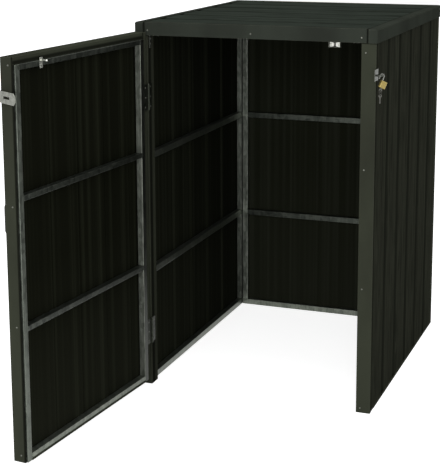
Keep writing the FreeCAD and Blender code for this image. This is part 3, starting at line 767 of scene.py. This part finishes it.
screws("frame_screw_heads", "frame_screws", "root")
screws("door_screw_heads", "door_screws", "door")


# Foot strips

def foot_strip(name, body, out, skin, foot, tall, ends):
    """A straight folded strip over a sheet's lowest edge, from one end to the other.

    out is the strip's outward direction and skin the sheet's own face along it.
    """
    along = Z.cross(out)
    face = out * (skin + strip_wall)
    back = out * (skin - strip_lap)
    top = Z * tall
    thick = Z * strip_wall
    outline = [face, face + top, out * skin + top, out * skin + thick, back + thick, back]
    shape = bmesh.new()
    rings = []
    for end in sorted(ends):
        rings.append([shape.verts.new(p + along * end + Z * foot) for p in outline])
    for k in range(len(outline)):
        after = (k + 1) % len(outline)
        shape.faces.new((rings[0][k], rings[0][after], rings[1][after], rings[1][k]))
    shape.faces.new(rings[0][::-1])
    shape.faces.new(rings[1])
    bmesh.ops.recalc_face_normals(shape, faces=shape.faces)
    o = piece(name, shape, strip_paint, body, "trim")
    bevel = o.modifiers.new("soft_edges", "BEVEL")
    bevel.width = strip_edge
    bevel.segments = 2


def wall_strip(side, out, ends):
    """The strip at the foot of one wall."""
    skin = reach(side + "_panel", out)
    foot_strip(side + "_foot_strip", "root", out, skin, 0.0, wall_strip_tall, ends)


def side_strips():
    """The side walls' strips, from each post to the wall's back end."""
    for side, post, out in (("right", "lock_post", X), ("left", "hinge_post", -X)):
        along = Z.cross(out)
        wall_strip(side, out, [along.y * reach(post, Y), along.y * reach(side + "_panel", Y)])


def back_strip():
    """The back wall's strip, as wide as its sheet."""
    half = reach("back_panel", X)
    wall_strip("back", Y, [-half, half])


def door_strip():
    """The strip on the inner side of the door's bottom tube."""
    rail = "door_bottom_rail"
    skin = reach(rail, -door_out)
    foot = -reach("door_bottom_edge", -Z)
    ends = [-reach(rail, door_along), reach(rail, -door_along)]
    foot_strip("door_foot_strip", "door", -door_out, skin, foot, door_strip_tall, ends)


side_strips()
back_strip()
door_strip()


# Round wire and rod

def ring_round(point, side, other, radius):
    """Points round one place on a wire."""
    return [point + side * x + other * y for x, y in circle(radius, wire_sides)]


def tube(points, radii):
    """A round tube along a line of points, with its own radius at each and closed ends."""
    shape = bmesh.new()
    rings = []
    side = None
    for k, point in enumerate(points):
        ahead = points[min(k + 1, len(points) - 1)] - points[max(k - 1, 0)]
        ahead.normalize()
        if side is None:
            side = ahead.orthogonal().normalized()
        side = (side - ahead * side.dot(ahead)).normalized()
        corners = ring_round(point, side, ahead.cross(side), radii[k])
        rings.append([shape.verts.new(corner) for corner in corners])
    for first, second in zip(rings, rings[1:]):
        for n in range(wire_sides):
            after = (n + 1) % wire_sides
            face = shape.faces.new((first[n], first[after], second[after], second[n]))
            face.smooth = True
    shape.faces.new(rings[0][::-1])
    shape.faces.new(rings[-1])
    return shape


def wire(points, radius):
    """A tube with one radius throughout."""
    return tube(points, [radius] * len(points))


def half_round(middle, start, finish, radius):
    """Points half way round an arc, from the start's side over the finish's to the opposite side."""
    turns = [math.pi * k / arc_steps for k in range(arc_steps + 1)]
    return [middle + (start * math.cos(a) + finish * math.sin(a)) * radius for a in turns]


# Staple and padlock

def staple_wire():
    """The staple's round wire eye, out of its plate and back."""
    low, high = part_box("staple_eye")
    wire_r = (high.z - low.z) / 2
    bend_r = (high.y - low.y) / 2 - wire_r
    middle = Vector((high.x - wire_r - bend_r, (low.y + high.y) / 2, (low.z + high.z) / 2))
    bend = half_round(middle, -Y, X, bend_r)
    back = X * (low.x - middle.x)
    points = [bend[0] + back] + bend + [bend[-1] + back]
    piece("staple_wire", wire(points, wire_r), worn_zinc, "root", "zinc", "staple_eye")


# The shackle's own axes, with the bow's middle at the origin, the legs down and the long one at +X
hung = (
    Matrix.Translation(Vector(joints["padlock_swing"]["pos_m"]) - Z * shackle_hang)
    @ Matrix.Rotation(padlock_turn, 4, "Z")
    @ Matrix.Rotation(padlock_tilt, 4, "Y")
)


def shackle_rod():
    """The shackle, its short leg notched for the bolt and both ends eased."""
    bow = half_round(Vector(), -X, Z, shackle_bend_r)
    eased = shackle_r - shackle_ease
    notched = shackle_r - notch_deep
    short = [
        (short_leg, eased),
        (short_leg - shackle_ease, shackle_r),
        (notch_low, shackle_r),
        (notch_low - notch_slope, notched),
        (notch_high + notch_slope, notched),
        (notch_high, shackle_r),
    ]
    long = [(long_leg - shackle_ease, shackle_r), (long_leg, eased)]
    points = [bow[0] - Z * drop for drop, r in short] + bow + [bow[-1] - Z * drop for drop, r in long]
    radii = [r for drop, r in short] + [shackle_r] * len(bow) + [r for drop, r in long]
    shape = tube(points, radii)
    bmesh.ops.transform(shape, matrix=hung, verts=shape.verts)
    piece("shackle_rod", shape, polished, "padlock_shackle", "shackle", "padlock_shackle")


def split_ring():
    """A key ring wound twice round from thin wire."""
    top = Vector(joints["key_ring_swing"]["pos_m"])
    foot = Vector(joints["spare_key_swing"]["pos_m"])
    middle = (top + foot) / 2
    radius = (top - foot).length / 2
    side = Vector((math.cos(padlock_turn), math.sin(padlock_turn), 0))
    flat = Z.cross(side)
    steps = ring_winds * 2 * arc_steps
    points = []
    for k in range(steps + 1):
        a = ring_winds * 2 * math.pi * k / steps
        drift = side * ((k / steps - 0.5) * ring_winds * 2 * ring_wire_r)
        points.append(middle + (flat * math.cos(a) + Z * math.sin(a)) * radius + drift)
    piece("split_ring", wire(points, ring_wire_r), key_steel, "key_ring", "shackle", "key_ring")


# Keys

def key_outline(length):
    """Round the bow and along the toothed blade, with the bow's middle at the origin."""
    half = key_blade / 2
    open_angle = math.asin(half / key_bow_r)
    sweep = 2 * math.pi - 2 * open_angle
    points = []
    for n in range(arc_steps + 1):
        a = math.pi / 2 + open_angle + sweep * n / arc_steps
        points.append((key_bow_r * math.cos(a), key_bow_r * math.sin(a)))
    start = key_bow_r + key_shoulder
    pitch = (length - start) / (len(key_cuts) + 0.5)
    for n, cut in enumerate(key_cuts):
        z = start + pitch * n
        points += [(half, z), (half - cut, z + pitch * 0.35), (half - cut, z + pitch * 0.65)]
    points += [(half, length - pitch * 0.5), (half * 0.4, length)]
    points += [(-half * 0.6, length), (-half, length - pitch * 0.4)]
    return points


def toothed_key(name, length, place, body, node):
    """A flat key with a round bow, its ring hole and a cut blade."""
    shape = bmesh.new()
    hole = [(x, z - key_hole_drop) for x, z in circle(key_hole_r, arc_steps)]
    edges = []
    for loop in (key_outline(length), hole):
        corners = [shape.verts.new((x, -key_wall / 2, z)) for x, z in loop]
        edges += [shape.edges.new((corners[n - 1], corners[n])) for n in range(len(corners))]
    flat = bmesh.ops.triangle_fill(shape, use_beauty=True, edges=edges, normal=(0, -1, 0))
    faces = [f for f in flat["geom"] if isinstance(f, bmesh.types.BMFace)]
    raised = bmesh.ops.extrude_face_region(shape, geom=faces, use_keep_orig=True)
    lifted = [v for v in raised["geom"] if isinstance(v, bmesh.types.BMVert)]
    bmesh.ops.translate(shape, vec=(0, key_wall, 0), verts=lifted)
    bmesh.ops.recalc_face_normals(shape, faces=shape.faces)
    bmesh.ops.transform(shape, matrix=place, verts=shape.verts)
    o = piece(name, shape, key_steel, body, "shackle", node)
    bevel = o.modifiers.new("worn_edges", "BEVEL")
    bevel.width = key_edge
    bevel.segments = 2
    bevel.limit_method = "ANGLE"
    bevel.angle_limit = key_sharp


def lock_key():
    """The key in the padlock, along the shackle's long leg."""
    bow_drop = case_drop + case_tall + key_stand_off + key_bow_r
    place = hung @ Matrix.Translation((2 * shackle_bend_r, 0, -bow_drop))
    toothed_key("lock_key_toothed", key_in_lock, place, "lock_key", "padlock_key")


def spare_key():
    """The spare key, hung with its blade down from the ring's foot."""
    foot = Vector(joints["spare_key_swing"]["pos_m"])
    middle = Matrix.Translation(foot - Z * (ring_rest + key_hole_drop))
    turned = Matrix.Rotation(padlock_turn, 4, "Z") @ Matrix.Rotation(math.pi, 4, "X")
    toothed_key("spare_key_toothed", key_long, middle @ turned, "spare_key", "spare_key")


staple_wire()
shackle_rod()
split_ring()
lock_key()
spare_key()


# Studio

def light_plane(name, place, size, power):
    """A rectangle of light, turned to the store's middle and out of the camera's sight."""
    lamp = bpy.data.lights.new(name, "AREA")
    lamp.shape = "RECTANGLE"
    lamp.size, lamp.size_y = size
    lamp.energy = power
    o = bpy.data.objects.new(name, lamp)
    bpy.context.scene.collection.objects.link(o)
    o.location = place
    o.rotation_euler = (Vector(store_middle) - Vector(place)).to_track_quat("-Z", "Y").to_euler()
    o.visible_camera = False


def either(tree, a, b):
    """The larger of two values in a node tree."""
    node = tree.nodes.new("ShaderNodeMath")
    node.operation = "MAXIMUM"
    tree.links.new(a, node.inputs[0])
    tree.links.new(b, node.inputs[1])
    return node.outputs[0]


def seen_rays(tree):
    """1 for what the camera sees itself, in reflections or through glass, and 0 for the light."""
    path = tree.nodes.new("ShaderNodeLightPath").outputs
    straight = either(tree, path["Is Camera Ray"], path["Is Transmission Ray"])
    return either(tree, straight, path["Is Glossy Ray"])


def studio_world():
    """White where it is seen, and a weaker fill as light."""
    world = bpy.data.worlds.new("studio")
    bpy.context.scene.world = world
    world.use_nodes = True
    tree = world.node_tree
    shade = tree.nodes["Background"]
    shade.inputs["Color"].default_value = white
    level = tree.nodes.new("ShaderNodeMapRange")
    level.inputs["To Min"].default_value = world_fill
    level.inputs["To Max"].default_value = world_seen
    tree.links.new(seen_rays(tree), level.inputs["Value"])
    tree.links.new(level.outputs["Result"], shade.inputs["Strength"])


def floor_paper():
    """Pale paper, lit up where it is seen so that it is as good as white."""
    s = Shade("floor_paper", rough=0.9, gloss=0.0)
    tone = s.noise((1.5, 1.5, 1.5), 2)
    s.shader.inputs["Emission Color"].default_value = white
    s.join(s.share(seen_rays(s.tree), floor_glow), s.shader.inputs["Emission Strength"])
    return s.finish(s.blend(tone, (0.80, 0.80, 0.80, 1), (0.82, 0.82, 0.82, 1)))


def studio_floor():
    """A floor that fades into the white background and keeps the shadow."""
    mesh = bpy.data.meshes.new("floor")
    shape = bmesh.new()
    bmesh.ops.create_grid(shape, x_segments=1, y_segments=1, size=floor_half)
    shape.to_mesh(mesh)
    shape.free()
    mesh.materials.append(floor_paper())
    o = bpy.data.objects.new("floor", mesh)
    bpy.context.scene.collection.objects.link(o)
    o.location = (0, 0, cad_low.z - floor_drop)


def photo_camera():
    """The photograph's view of the store."""
    lens = bpy.data.cameras.new("photo_camera")
    lens.sensor_width = camera_sensor
    lens.sensor_fit = "AUTO"
    lens.lens = camera_lens
    lens.shift_y = camera_shift
    lens.clip_start = camera_near
    lens.clip_end = camera_far
    o = bpy.data.objects.new("photo_camera", lens)
    bpy.context.scene.collection.objects.link(o)
    heading = Matrix.Rotation(-camera_heading, 4, "Z")
    pitch = Matrix.Rotation(math.pi / 2 + camera_pitch, 4, "X")
    roll = Matrix.Rotation(camera_roll, 4, "Z")
    o.matrix_world = Matrix.Translation(camera_place) @ heading @ pitch @ roll
    bpy.context.scene.camera = o


light_plane("key_light", key_light_place, key_light_size, key_light_power)
light_plane("top_light", top_light_place, top_light_size, top_light_power)
studio_world()
studio_floor()
photo_camera()
bpy.context.scene.view_settings.view_transform = "Standard"
